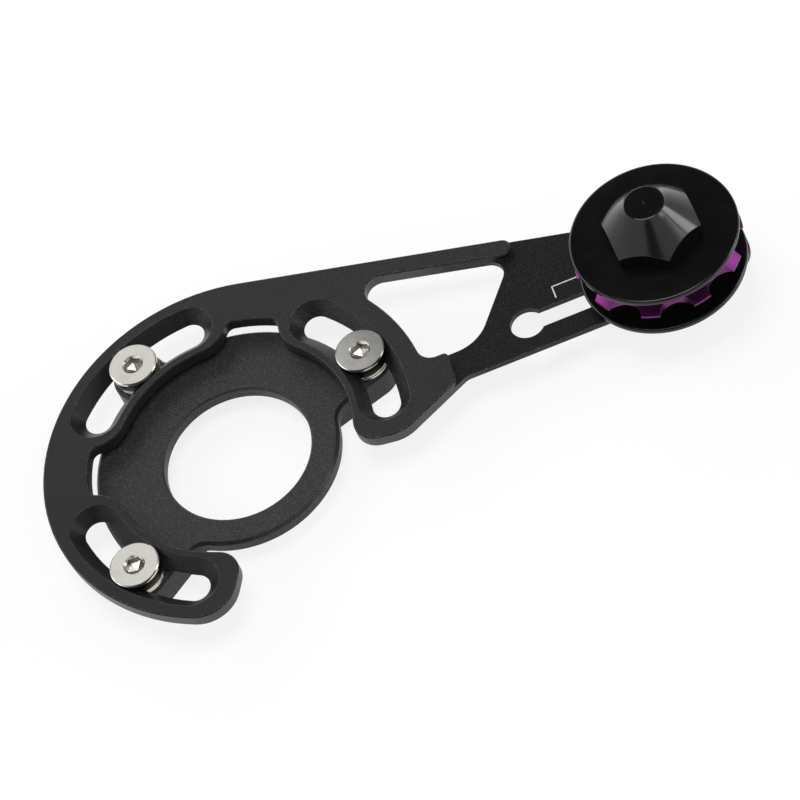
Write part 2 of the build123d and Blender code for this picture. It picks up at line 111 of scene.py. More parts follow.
# Black anodised aluminium, bead blasted: near black, a soft sheen, a grain with painted glints, and edges
# worn round, with chips of unanodised metal and a faint painted highlight line along them.
# The real grain is about 0.1 mm, and is drawn two or three times coarser so that it shows.
def blastedBlack(name, look):
    material, tree = startMaterial(name)
    place = addNode(tree, "ShaderNodeTexCoord").outputs["Object"]
    spot = addNode(tree, "ShaderNodeSeparateXYZ", {"Vector": place})
    grain = addNode(tree, "ShaderNodeTexNoise", {
        "Vector": place, "Scale": patternScale(look["grain"]), "Detail": 3.0,
        "Roughness": 0.65}).outputs["Fac"]
    if "smoothEnd" in look:
        # the grain fades from the arm to the plate's far end
        share = addNode(tree, "ShaderNodeMapRange", {
            "Value": spot.outputs["X"], "From Min": look["smoothEnd"] * mm,
            "From Max": look["coarseEnd"] * mm, "To Min": look["smoothShare"]}).outputs["Result"]
        swing = addNode(tree, "ShaderNodeMath", {0: grain, 1: noiseMiddle}, operation="SUBTRACT").outputs[0]
        grain = addNode(tree, "ShaderNodeMath", {
            0: swing, 1: share, 2: noiseMiddle}, operation="MULTIPLY_ADD").outputs[0]
    cloud = addNode(tree, "ShaderNodeTexNoise", {
        "Vector": place, "Scale": patternScale(look["cloud"]), "Detail": 2.0}).outputs["Fac"]
    # the lightest stop paints glints: light specks in the colour where the grain is high
    blasted = addNode(tree, "ShaderNodeValToRGB", {"Fac": grain}, steps=[
        (look["darkTo"], look["dark"]), (look["midAt"], look["mid"]),
        (look["paintedGlintFrom"], look["paintedGlint"])]).outputs["Color"]
    # an edge is where the rounded normal leaves the face's own
    rounded = addNode(tree, "ShaderNodeBevel", {
        "Radius": look["edgeRound"] * mm}, samples=6).outputs["Normal"]
    facing = addNode(tree, "ShaderNodeNewGeometry").outputs["True Normal"]
    closeness = addNode(tree, "ShaderNodeVectorMath", {
        0: rounded, 1: facing}, operation="DOT_PRODUCT").outputs["Value"]
    edge = addNode(tree, "ShaderNodeMapRange", {
        "Value": closeness, "From Min": look["edgeFrom"], "From Max": look["edgeFull"]}).outputs["Result"]
    # edges take the colour of unanodised metal: fully in chips, and faintly all along as a painted highlight
    # line
    chip = addNode(tree, "ShaderNodeTexNoise", {
        "Vector": place, "Scale": patternScale(look["chip"]), "Detail": 2.0}).outputs["Fac"]
    chipsAndShine = addNode(tree, "ShaderNodeMapRange", {
        "Value": chip, "From Min": look["chipFrom"], "From Max": look["chipFrom"] + look["chipSpread"],
        "To Min": look["edgeShine"]}).outputs["Result"]
    wear = addNode(tree, "ShaderNodeMath", {0: edge, 1: chipsAndShine}, operation="MULTIPLY").outputs[0]
    # in a mix, socket 0 is the share, 2 and 3 are numbers, and 6 and 7 are colours
    tone = addNode(tree, "ShaderNodeMix", {
        0: wear, 6: blasted, 7: linearColour(look["bareAndShine"])}, data_type="RGBA").outputs[2]
    sheen = addNode(tree, "ShaderNodeMapRange", {
        "Value": grain, "From Min": noiseLow, "From Max": noiseHigh,
        "To Min": look["roughness"] + look["roughSpread"],
        "To Max": look["roughness"] - look["roughSpread"]}).outputs["Result"]
    rough = addNode(tree, "ShaderNodeMath", {
        0: cloud, 1: look["cloudShare"], 2: sheen}, operation="MULTIPLY_ADD").outputs[0]
    bump = addNode(tree, "ShaderNodeBump", {
        "Height": grain, "Strength": look["bump"], "Distance": look["grainHeight"] * mm, "Normal": rounded})
    shader = addNode(tree, "ShaderNodeBsdfPrincipled", {
        "Base Color": tone, "Roughness": rough, "Normal": bump.outputs["Normal"],
        "Specular IOR Level": look["gleam"]})
    if "recessTop" in look:
        # level faces at or under recessTop are duller, and upright walls up to wallEnd are shinier
        tilt = addNode(tree, "ShaderNodeSeparateXYZ", {"Vector": facing}).outputs["Z"]
        low = addNode(tree, "ShaderNodeMapRange", {
            "Value": spot.outputs["Z"], "From Min": (look["recessTop"] + look["recessFade"]) * mm,
            "From Max": look["recessTop"] * mm}).outputs["Result"]
        level = addNode(tree, "ShaderNodeMapRange", {
            "Value": tilt, "From Min": look["levelFrom"], "From Max": look["levelFull"]}).outputs["Result"]
        recess = addNode(tree, "ShaderNodeMath", {0: low, 1: level}, operation="MULTIPLY").outputs[0]
        dim = addNode(tree, "ShaderNodeMapRange", {
            "Value": recess, "To Min": 1.0, "To Max": look["recessTone"]}).outputs["Result"]
        dull = addNode(tree, "ShaderNodeVectorMath", {
            0: tone, "Scale": dim}, operation="SCALE").outputs["Vector"]
        wall = addNode(tree, "ShaderNodeMapRange", {
            "Value": spot.outputs["X"], "From Min": (look["wallEnd"] - look["wallFade"]) * mm,
            "From Max": look["wallEnd"] * mm, "To Min": look["wallGleam"],
            "To Max": look["slopeGleam"]}).outputs["Result"]
        sloped = addNode(tree, "ShaderNodeMapRange", {
            "Value": tilt, "From Min": look["uprightTo"], "From Max": look["slopeFrom"], "To Min": wall,
            "To Max": look["slopeGleam"]}).outputs["Result"]
        faced = addNode(tree, "ShaderNodeMapRange", {
            "Value": recess, "To Min": look["gleam"], "To Max": look["recessGleam"]}).outputs["Result"]
        gleam = addNode(tree, "ShaderNodeMix", {
            0: level, 2: sloped, 3: faced}, data_type="FLOAT").outputs[0]
        tree.links.new(dull, shader.inputs["Base Color"])
        tree.links.new(gleam, shader.inputs["Specular IOR Level"])
    finishMaterial(tree, shader)
    return material


# what the plate and the ring share; edgeFrom and edgeFull are cosines
blastLook = {
    "midAt": 0.52, "paintedGlintFrom": 0.66, "cloudShare": 0.06, "gleam": 0.41, "edgeRound": 0.25, "edgeFrom": 0.985,
    "edgeFull": 0.9, "chipSpread": 0.04,
}
# the arm is milled below the plate's face, and its blasted floor is darker and coarser; levelFrom, levelFull,
# uprightTo and slopeFrom say how far a face looks up, from 0 to 1
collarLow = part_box("arm_collar")[0]
# in both looks the lightest grain colour paints glints, and the edge colour serves both chips and a painted
# highlight line
plateLook = dict(
    blastLook, grain=0.32, grainHeight=0.035, bump=0.68, cloud=9.0, dark="#080809", darkTo=0.38,
    mid="#131416", paintedGlint="#404246", roughness=0.36, roughSpread=0.14, chip=0.6, chipFrom=0.58,
    edgeShine=0.14, bareAndShine="#8b8d91", recessTop=collarLow.z / mm, recessFade=0.3, recessTone=0.75,
    recessGleam=0.18, levelFrom=0.85, levelFull=0.95, uprightTo=0.2, slopeFrom=0.5, slopeGleam=0.3,
    wallGleam=0.8, wallEnd=60, wallFade=8, smoothEnd=-40, coarseEnd=45, smoothShare=0.15)
ringLook = dict(
    blastLook, grain=0.24, grainHeight=0.05, bump=0.9, cloud=14.0, dark="#0a0a0b", darkTo=0.36,
    mid="#1c1c1f", paintedGlint="#4a4b4f", roughness=0.4, roughSpread=0.12, chip=0.7, chipFrom=0.7,
    edgeShine=0.04, bareAndShine="#77797d")
plateFinish = blastedBlack("black anodised aluminium, fine blasted", plateLook)
ringFinish = blastedBlack("black anodised aluminium, coarse blasted", ringLook)


# Black anodised aluminium, turned and polished: deep black, mirror-like, with faint turning rings.
# Real rings are about 0.1 mm apart, and are drawn coarser so that they show.
def polishedBlack(name, look):
    material, tree = startMaterial(name)
    place = addNode(tree, "ShaderNodeTexCoord").outputs["Object"]
    centred = addNode(tree, "ShaderNodeMapping", {
        "Vector": place, "Location": -pulleyCentre}).outputs["Vector"]
    flat = addNode(tree, "ShaderNodeVectorMath", {
        0: centred, 1: (1, 1, 0)}, operation="MULTIPLY").outputs["Vector"]
    radius = addNode(tree, "ShaderNodeVectorMath", {0: flat}, operation="LENGTH").outputs["Value"]
    rings = addNode(tree, "ShaderNodeMath", {
        0: radius, 1: 2 * math.pi / (look["ringSpacing"] * mm)}, operation="MULTIPLY").outputs[0]
    wave = addNode(tree, "ShaderNodeMath", {0: rings}, operation="SINE").outputs[0]
    cloud = addNode(tree, "ShaderNodeTexNoise", {
        "Vector": place, "Scale": patternScale(look["cloud"]), "Detail": 4.0}).outputs["Fac"]
    rough = addNode(tree, "ShaderNodeMapRange", {
        "Value": cloud, "From Min": look["sleekTo"], "From Max": noiseHigh,
        "To Min": look["roughLow"], "To Max": look["roughHigh"]}).outputs["Result"]
    tone = addNode(tree, "ShaderNodeValToRGB", {"Fac": cloud}, steps=[
        (noiseLow, look["dark"]), (look["midFrom"], look["mid"])]).outputs["Color"]
    bump = addNode(tree, "ShaderNodeBump", {
        "Height": wave, "Strength": look["bump"], "Distance": look["ringHeight"] * mm})
    shader = addNode(tree, "ShaderNodeBsdfPrincipled", {
        "Base Color": tone, "Roughness": rough, "Normal": bump.outputs["Normal"], "IOR": look["ior"]})
    finishMaterial(tree, shader)
    return material


polishedLook = {
    "ringSpacing": 0.5, "ringHeight": 0.0006, "bump": 0.3, "cloud": 6.0, "dark": "#0c0c0d", "mid": "#0f0f10",
    "midFrom": 0.75, "roughLow": 0.14, "roughHigh": 0.19, "sleekTo": 0.35, "ior": 1.45,
}
polishedFinish = polishedBlack("black anodised aluminium, turned and polished", polishedLook)


# Purple anodised aluminium, machined: a clear dyed oxide over bright metal, so it shines in its own colour.
# Real mill marks are about 0.1 mm apart, and are drawn coarser so that they show.
def purpleAnodised(name, look):
    material, tree = startMaterial(name)
    place = addNode(tree, "ShaderNodeTexCoord").outputs["Object"]
    brush = addNode(tree, "ShaderNodeMapping", {
        "Vector": place, "Scale": (1, 1, look["brushStretch"])}).outputs["Vector"]
    mill = addNode(tree, "ShaderNodeTexNoise", {
        "Vector": brush, "Scale": patternScale(look["millMark"]), "Detail": 4.0}).outputs["Fac"]
    tone = addNode(tree, "ShaderNodeValToRGB", {"Fac": mill}, steps=[
        (noiseLow, look["dark"]), (noiseHigh, look["light"])]).outputs["Color"]
    rough = addNode(tree, "ShaderNodeMapRange", {
        "Value": mill, "From Min": noiseLow, "From Max": noiseHigh,
        "To Min": look["roughLow"], "To Max": look["roughHigh"]}).outputs["Result"]
    bump = addNode(tree, "ShaderNodeBump", {
        "Height": mill, "Strength": look["bump"], "Distance": look["millHeight"] * mm})
    shader = addNode(tree, "ShaderNodeBsdfPrincipled", {
        "Base Color": tone, "Roughness": rough, "Normal": bump.outputs["Normal"], "Metallic": 1.0})
    finishMaterial(tree, shader)
    return material


purpleLook = {
    "millMark": 0.35, "millHeight": 0.01, "brushStretch": 4.0, "bump": 0.1, "dark": "#692d68",
    "light": "#743472", "roughLow": 0.19, "roughHigh": 0.31,
}
purpleFinish = purpleAnodised("purple anodised aluminium, milled", purpleLook)


# Stainless steel, turned: warm light grey metal, a satin face with faint turning rings, grey where it is
# tarnished, and a brown painted shade in the socket, under the head and on the shims. Real rings are about
# 0.1 mm apart, and are drawn coarser so that they show.
def turnedSteel(name, look):
    material, tree = startMaterial(name)
    local = addNode(tree, "ShaderNodeAttribute", attribute_name="local").outputs["Vector"]
    tarnish = addNode(tree, "ShaderNodeAttribute", attribute_name="tarnish").outputs["Fac"]
    paintedShade = addNode(tree, "ShaderNodeAttribute", attribute_name="paintedShade").outputs["Fac"]
    flat = addNode(tree, "ShaderNodeVectorMath", {
        0: local, 1: (1, 1, 0)}, operation="MULTIPLY").outputs["Vector"]
    radius = addNode(tree, "ShaderNodeVectorMath", {0: flat}, operation="LENGTH").outputs["Value"]
    rings = addNode(tree, "ShaderNodeMath", {
        0: radius, 1: 2 * math.pi / (look["ringSpacing"] * mm)}, operation="MULTIPLY").outputs[0]
    wave = addNode(tree, "ShaderNodeMath", {0: rings}, operation="SINE").outputs[0]
    grain = addNode(tree, "ShaderNodeTexNoise", {
        "Vector": local, "Scale": patternScale(look["grain"]), "Detail": 4.0,
        "Roughness": 0.6}).outputs["Fac"]
    height = addNode(tree, "ShaderNodeMath", {
        0: wave, 1: look["ringShare"], 2: grain}, operation="MULTIPLY_ADD").outputs[0]
    bright = addNode(tree, "ShaderNodeValToRGB", {"Fac": grain}, steps=[
        (noiseLow, look["dark"]), (noiseHigh, look["light"])]).outputs["Color"]
    worn = addNode(tree, "ShaderNodeValToRGB", {"Fac": grain}, steps=[
        (noiseLow, look["wornDark"]), (noiseHigh, look["wornLight"])]).outputs["Color"]
    blotch = addNode(tree, "ShaderNodeTexNoise", {
        "Vector": local, "Scale": patternScale(look["blotch"]), "Detail": 2.0}).outputs["Fac"]
    spread = addNode(tree, "ShaderNodeMapRange", {
        "Value": blotch, "From Min": noiseLow, "From Max": noiseHigh,
        "To Min": -look["blotchShare"] / 2, "To Max": look["blotchShare"] / 2}).outputs["Result"]
    # tarnish keeps to the face, outside the socket, and grows to one side of it
    face = addNode(tree, "ShaderNodeMapRange", {
        "Value": radius, "From Min": (look["satinFrom"] - look["satinFade"]) * mm,
        "From Max": look["satinFrom"] * mm}).outputs["Result"]
    faceWear = addNode(tree, "ShaderNodeMath", {0: tarnish, 1: face}, operation="MULTIPLY").outputs[0]
    across = addNode(tree, "ShaderNodeSeparateXYZ", {"Vector": local}).outputs["X"]
    lean = addNode(tree, "ShaderNodeMath", {
        0: across, 1: look["sideWear"] / mm, 2: 1.0}, operation="MULTIPLY_ADD").outputs[0]
    wear = addNode(tree, "ShaderNodeMath", {
        0: faceWear, 1: lean, 2: spread}, operation="MULTIPLY_ADD", use_clamp=True).outputs[0]
    clean = addNode(tree, "ShaderNodeMix", {0: wear, 6: bright, 7: worn}, data_type="RGBA").outputs[2]
    # brown painted shade where the points carry it
    tone = addNode(tree, "ShaderNodeMix", {
        0: paintedShade, 6: clean, 7: linearColour(look["shadeTone"])}, data_type="RGBA").outputs[2]
    satin = addNode(tree, "ShaderNodeMapRange", {
        "Value": face, "To Min": look["socketRough"], "To Max": look["roughness"]}).outputs["Result"]
    rim = addNode(tree, "ShaderNodeMapRange", {
        "Value": radius, "From Min": look["satinTo"] * mm,
        "From Max": (look["satinTo"] + look["satinFade"]) * mm, "To Min": 0.0,
        "To Max": look["rimRough"] - look["roughness"]}).outputs["Result"]
    smooth = addNode(tree, "ShaderNodeMath", {0: satin, 1: rim}, operation="ADD").outputs[0]
    rough = addNode(tree, "ShaderNodeMath", {
        0: grain, 1: look["roughSpread"], 2: smooth}, operation="MULTIPLY_ADD").outputs[0]
    bump = addNode(tree, "ShaderNodeBump", {
        "Height": height, "Strength": look["bump"], "Distance": look["grainHeight"] * mm})
    shader = addNode(tree, "ShaderNodeBsdfPrincipled", {
        "Base Color": tone, "Roughness": rough, "Normal": bump.outputs["Normal"], "Metallic": 1.0})
    finishMaterial(tree, shader)
    return material


# the brown tone is painted shade, under the heads, on the socket walls and on the shims
steelLook = {
    "ringSpacing": 0.3, "ringShare": 0.35, "grain": 0.25, "grainHeight": 0.006, "bump": 0.25,
    "dark": "#d2d0c9", "light": "#e2e0d9", "wornDark": "#878786", "wornLight": "#9d9c9a", "shadeTone": "#7d746b",
    "blotch": 5.0, "blotchShare": 0.24, "sideWear": 0.07, "roughness": 0.42, "roughSpread": 0.06,
    "socketRough": 0.2, "rimRough": 0.16, "satinFrom": 2.6, "satinTo": 5.45, "satinFade": 0.1,
}
# rolled strip is smoother, and its face has no socket and no polished rim
shimLook = dict(steelLook, satinFrom=0.1, satinTo=100.0, roughness=0.06, ringShare=0.1)
steelFinish = turnedSteel("stainless steel, turned", steelLook)
shimFinish = turnedSteel("stainless steel, rolled", shimLook)


# Bearing steel, ground, and cold headed bolts: bright and smooth, the bolt a little warmer and duller
def groundSteel(name, look):
    material, tree = startMaterial(name)
    place = addNode(tree, "ShaderNodeTexCoord").outputs["Object"]
    grain = addNode(tree, "ShaderNodeTexNoise", {
        "Vector": place, "Scale": patternScale(look["grain"]), "Detail": 3.0}).outputs["Fac"]
    tone = addNode(tree, "ShaderNodeValToRGB", {"Fac": grain}, steps=[
        (noiseLow, look["dark"]), (noiseHigh, look["light"])]).outputs["Color"]
    rough = addNode(tree, "ShaderNodeMapRange", {
        "Value": grain, "From Min": noiseLow, "From Max": noiseHigh,
        "To Min": look["roughness"] - look["roughSpread"],
        "To Max": look["roughness"] + look["roughSpread"]}).outputs["Result"]
    shader = addNode(tree, "ShaderNodeBsdfPrincipled", {
        "Base Color": tone, "Roughness": rough, "Metallic": 1.0})
    finishMaterial(tree, shader)
    return material


bearingFinish = groundSteel("bearing steel, ground", {
    "grain": 0.5, "dark": "#b4b4b4", "light": "#cfcfcf", "roughness": 0.2, "roughSpread": 0.05})
boltFinish = groundSteel("stainless steel, cold headed", {
    "grain": 0.35, "dark": "#a9a6a1", "light": "#c4c1bb", "roughness": 0.33, "roughSpread": 0.05})


# Moulded nylon: dull and slightly mottled
def mouldedNylon(name, look):
    material, tree = startMaterial(name)
    place = addNode(tree, "ShaderNodeTexCoord").outputs["Object"]
    mottle = addNode(tree, "ShaderNodeTexNoise", {
        "Vector": place, "Scale": patternScale(look["mottle"]), "Detail": 2.0}).outputs["Fac"]
    tone = addNode(tree, "ShaderNodeValToRGB", {"Fac": mottle}, steps=[
        (noiseLow, look["dark"]), (noiseHigh, look["light"])]).outputs["Color"]
    shader = addNode(tree, "ShaderNodeBsdfPrincipled", {
        "Base Color": tone, "Roughness": look["roughness"], "IOR": look["ior"]})
    finishMaterial(tree, shader)
    return material


nylonFinish = mouldedNylon("nylon, moulded", {
    "mottle": 1.2, "dark": "#1a1a1a", "light": "#222222", "roughness": 0.5, "ior": 1.53})


# White printing ink on the arm: matt, slightly uneven
def printedInk(name, look):
    material, tree = startMaterial(name)
    place = addNode(tree, "ShaderNodeTexCoord").outputs["Object"]
    patch = addNode(tree, "ShaderNodeTexNoise", {
        "Vector": place, "Scale": patternScale(look["patch"]), "Detail": 3.0}).outputs["Fac"]
    tone = addNode(tree, "ShaderNodeValToRGB", {"Fac": patch}, steps=[
        (look["thinTo"], look["thin"]), (look["fullFrom"], look["full"])]).outputs["Color"]
    shader = addNode(tree, "ShaderNodeBsdfPrincipled", {"Base Color": tone, "Roughness": look["roughness"]})
    finishMaterial(tree, shader)
    return material


inkFinish = printedInk("white ink, pad printed", {
    "patch": 0.4, "thin": "#b9b9b9", "thinTo": 0.25, "full": "#e6e6e4", "fullFrom": 0.5, "roughness": 0.6})
print("materials made:", len(bpy.data.materials))

finishes = {
    "guide_plate": plateFinish, "mounting_ring": ringFinish, "arm_collar": polishedFinish,
    "inner_spacer": polishedFinish, "outer_spacer": polishedFinish, "axle_bolt": boltFinish,
    "bearing_inner_race": bearingFinish, "bearing_outer_race": bearingFinish, "bearing_balls": bearingFinish,
    "bearing_shield_inner": bearingFinish, "bearing_shield_outer": bearingFinish, "bearing_cage": nylonFinish,
}
for nodeName, finish in finishes.items():
    for materialSlot in nodes[nodeName].material_slots:
        materialSlot.material = finish
print("finishes set on", len(finishes), "CAD nodes")

sharpAngle = math.radians(13)  # edges that turn less are shaded smooth
weldGap = 1e-7  # in metres: points closer than this become one


def arcPoints(centre, radius, start, end, count):
    # (radius, height) points of a rounded edge
    turns = [math.radians(start + (end - start) * i / count) for i in range(count + 1)]
    return [(centre[0] + radius * math.cos(a), centre[1] + radius * math.sin(a)) for a in turns]


def meshFromRings(name, rings, closedRing, closedTurn):
    # each ring is one profile of (x, y, z) points; equal neighbours become one point
    shape = bmesh.new()
    verts = [[shape.verts.new([c * mm for c in point]) for point in ring] for ring in rings]
    ringCount, pointCount = len(rings), len(rings[0])
    for i in range(ringCount if closedTurn else ringCount - 1):
        for j in range(pointCount if closedRing else pointCount - 1):
            k, m = (i + 1) % ringCount, (j + 1) % pointCount
            shape.faces.new((verts[i][j], verts[k][j], verts[k][m], verts[i][m]))
    bmesh.ops.remove_doubles(shape, verts=shape.verts, dist=weldGap)
    bmesh.ops.dissolve_degenerate(shape, edges=shape.edges, dist=weldGap)
    bmesh.ops.recalc_face_normals(shape, faces=shape.faces)
    for face in shape.faces:
        face.smooth = True
    mesh = bpy.data.meshes.new(name)
    shape.to_mesh(mesh)
    shape.free()
    mesh.set_sharp_from_angle(angle=sharpAngle)
    return mesh


def spun(profile, turns, centre=(0, 0)):
    # profile(angle) gives (radius, height) points; one ring of points for each turn, in radians
    rings = []
    for angle in turns:
        c, s = math.cos(angle), math.sin(angle)
        rings.append([(centre[0] + r * c, centre[1] + r * s, z) for r, z in profile(angle)])
    return rings


def fullTurn(steps, start=0.0):
    return [math.radians(start + 360 * i / steps) for i in range(steps)]


def hexReach(acrossFlats, cornerAngle, angle):
    # distance from a hexagon's middle to its edge along angle, in radians
    turn = (math.degrees(angle) - cornerAngle) % 60 - 30
    return acrossFlats / 2 / math.cos(math.radians(turn))


def linkedObject(name, data):
    newObject = bpy.data.objects.new(name, data)
    bpy.context.scene.collection.objects.link(newObject)
    return newObject


def addPiece(name, mesh, material, body, replaced):
    # without a material the mesh keeps its own, set by a node tree
    piece = linkedObject(name, mesh)
    if material is not None:
        mesh.materials.clear()
        mesh.materials.append(material)
    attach(piece, body)
    if replaced:
        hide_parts(*replaced)
    print("piece made:", name, len(mesh.polygons), "faces")


def boxMm(nodeName):
    low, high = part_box(nodeName)
    return Vector(low) / mm, Vector(high) / mm


pulleyMm = pulleyCentre / mm

# Outer guide disc: thin disc, hexagonal boss that ends in a cone, blind hole for the axle bolt.
# The cone's foot is broken by edgeDrop and edgeRise, and coneEdge and dimpleMid are (radius, depth) shares.
outerLow, outerHigh = boxMm("outer_guide_disc")
outerDisc = {
    "radius": (outerHigh.x - outerLow.x) / 2, "thickness": 1.5, "rimRound": 0.6, "rimSteps": 8,
    "hexAcross": 19.75, "hexCornerAngle": 32.3, "cornerHeight": 2.6, "edgeDrop": 0.06, "edgeRise": 0.05,
    "coneTopRadius": 4.75, "coneTopRound": 0.35, "coneEdge": (0.5, 0.15), "coneSteps": 6, "dimple": 0.32,
    "dimpleDepth": 0.25, "dimpleMid": (0.6, 0.7), "holeRadius": 2.46, "holeDepth": 9.5, "steps": 360,
}


def outerDiscProfile(angle):
    d = outerDisc
    bottom, top = outerLow.z, outerHigh.z
    face = bottom + d["thickness"]
    holeTop = bottom + d["holeDepth"]
    cornerRadius = d["hexAcross"] / math.sqrt(3)
    flare = (cornerRadius - d["coneTopRadius"]) / (top - face - d["cornerHeight"])
    reach = hexReach(d["hexAcross"], d["hexCornerAngle"], angle)
    wallTop = top - (reach - d["coneTopRadius"]) / flare
    r, rim = d["radius"], d["rimRound"]
    points = [(0, holeTop), (d["holeRadius"], holeTop), (d["holeRadius"], bottom)]
    points += arcPoints((r - rim, bottom + rim), rim, -90, 0, d["rimSteps"])
    points += arcPoints((r - rim, face - rim), rim, 0, 90, d["rimSteps"])
    points += [(reach, face), (reach, wallTop - d["edgeDrop"])]
    footRadius = reach - d["edgeRise"] * flare
    footHeight = wallTop + d["edgeRise"]
    topRadius, topRound = d["coneTopRadius"], d["coneTopRound"]
    for i in range(d["coneSteps"] + 1):
        share = i / d["coneSteps"]
        points.append((footRadius + (topRadius - footRadius) * share,
                       footHeight + (top - topRound - footHeight) * share))
    edgeIn, edgeDown = d["coneEdge"]
    points += [(topRadius - topRound * edgeIn, top - topRound * edgeDown), (topRadius - topRound, top)]
    midOut, midDown = d["dimpleMid"]
    points += [(d["dimple"], top), (d["dimple"] * midOut, top - d["dimpleDepth"] * midDown)]
    points += [(0, top - d["dimpleDepth"])]
    return points


outerRings = spun(outerDiscProfile, fullTurn(outerDisc["steps"], outerDisc["hexCornerAngle"]), pulleyMm)
outerMesh = meshFromRings("outerGuideDisc", outerRings, False, True)
addPiece("outerGuideDisc", outerMesh, polishedFinish, "carriage", ["outer_guide_disc"])

# Inner guide disc: thin disc with rounded rims
innerLow, innerHigh = boxMm("inner_guide_disc")
innerDisc = {
    "radius": (innerHigh.x - innerLow.x) / 2, "rimRound": 0.6, "rimSteps": 8, "holeRadius": 2.5, "steps": 240,
}


def innerDiscProfile(angle):
    d = innerDisc
    r, rim = d["radius"], d["rimRound"]
    points = [(d["holeRadius"], innerHigh.z), (d["holeRadius"], innerLow.z)]
    points += arcPoints((r - rim, innerLow.z + rim), rim, -90, 0, d["rimSteps"])
    points += arcPoints((r - rim, innerHigh.z - rim), rim, 0, 90, d["rimSteps"])
    return points


innerRings = spun(innerDiscProfile, fullTurn(innerDisc["steps"]), pulleyMm)
innerMesh = meshFromRings("innerGuideDisc", innerRings, True, True)
addPiece("innerGuideDisc", innerMesh, polishedFinish, "carriage", ["inner_guide_disc"])


def startTree(name, inputs):
    tree = bpy.data.node_groups.new(name, "GeometryNodeTree")
    tree.interface.new_socket("Geometry", in_out="INPUT", socket_type="NodeSocketGeometry")
    for inputName, kind in inputs.items():
        tree.interface.new_socket(inputName, in_out="INPUT", socket_type=kind)
    tree.interface.new_socket("Geometry", in_out="OUTPUT", socket_type="NodeSocketGeometry")
    return tree, addNode(tree, "NodeGroupInput")


def runTree(tree, name, startMesh, values):
    # the tree's result as a plain mesh, with inputs set by their sockets' identifiers
    carrier = linkedObject(name + "Carrier", startMesh)
    modifier = carrier.modifiers.new(name, "NODES")
    modifier.node_group = tree
    for item in tree.interface.items_tree:
        if item.in_out == "INPUT" and item.name in values:
            modifier[item.identifier] = values[item.name]
    carrier.update_tag()
    bpy.context.view_layer.update()
    depsgraph = bpy.context.evaluated_depsgraph_get()
    mesh = bpy.data.meshes.new_from_object(carrier.evaluated_get(depsgraph))
    mesh.name = name
    carrier.modifiers.clear()
    bpy.data.objects.remove(carrier)
    return mesh


# Toothed wheel: one tooth with its half gullets, set round the hub by a node tree
wheelLow, wheelHigh = boxMm("toothed_wheel")
raceTop = boxMm("bearing_outer_race")[1].z
wheel = {
    "teeth": 10, "pitch": 12.7, "gullet": 4.2, "tipDrop": 1.16, "bevelWidth": 2.4, "tipLand": 0.5,
    "lowerBevel": 0.2, "firstTooth": -41.3, "web": 2.3, "hubStep": 2.3, "hubRadius": 11.5, "hubChamfer": 0.3,
    "seatRadius": 8.0, "lipRadius": 6.3, "edge": 0.1, "gulletSteps": 22, "tipSteps": 8, "innerSteps": 5,
    "outerSteps": 7, "weld": 0.002,
}
wheel["halfStep"] = math.pi / wheel["teeth"]  # radians from a tooth's middle to a gullet's middle
wheel["pitchRadius"] = wheel["pitch"] / 2 / math.sin(wheel["halfStep"])
wheel["tipRadius"] = wheel["pitchRadius"] - wheel["tipDrop"]


def cornerOffset():
    # radians from a gullet's middle to the corner of the tooth
    p, g, t = wheel["pitchRadius"], wheel["gullet"], wheel["tipRadius"]
    return math.acos((p * p + t * t - g * g) / (2 * p * t))


def gulletReach(offset):
    # distance from the wheel's middle to the gullet's wall, offset radians from the gullet's middle
    p, g = wheel["pitchRadius"], wheel["gullet"]
    return p * math.cos(offset) - math.sqrt(max(g * g - (p * math.sin(offset)) ** 2, 0))


def toothTurns():
    # angles across one tooth, with its two corners among them
    w = wheel
    corner = w["halfStep"] - cornerOffset()
    flank = [w["halfStep"] - cornerOffset() * i / w["gulletSteps"] for i in range(w["gulletSteps"])]
    tip = [corner - 2 * corner * i / w["tipSteps"] for i in range(w["tipSteps"] + 1)]
    return [-a for a in flank] + [-a for a in tip] + [a for a in reversed(flank)]


def toothProfile(angle):
    w = wheel
    offset = w["halfStep"] - abs(angle)
    reach = gulletReach(offset) if offset < cornerOffset() else w["tipRadius"]
    bottom = wheelLow.z
    webBottom = bottom + w["hubStep"]
    webTop = webBottom + w["web"]
    shoulder = w["tipRadius"] - w["bevelWidth"]

    def upper(r):
        share = max(0.0, (r - shoulder) / w["bevelWidth"])
        return webTop - share * (webTop - webBottom - w["lowerBevel"] - w["tipLand"])

    def lower(r):
        return webBottom + max(0.0, (r - shoulder) / w["bevelWidth"]) * w["lowerBevel"]

    hub, chamfer, edge = w["hubRadius"], w["hubChamfer"], w["edge"]
    split = min(shoulder, reach - 2 * edge)
    inner = [hub + (split - hub) * i / w["innerSteps"] for i in range(w["innerSteps"])]
    outer = [split + (reach - edge - split) * i / w["outerSteps"] for i in range(w["outerSteps"] + 1)]
    radii = inner + outer
    points = [(w["seatRadius"], bottom), (hub - chamfer, bottom), (hub, bottom + chamfer)]
    points += [(r, lower(r)) for r in radii]
    points += [(reach, lower(reach) + edge), (reach, upper(reach) - edge)]
    points += [(r, upper(r)) for r in reversed(radii)]
    points += [(hub, wheelHigh.z - chamfer), (hub - chamfer, wheelHigh.z)]
    points += [(w["lipRadius"], wheelHigh.z), (w["lipRadius"], raceTop), (w["seatRadius"], raceTop)]
    return points


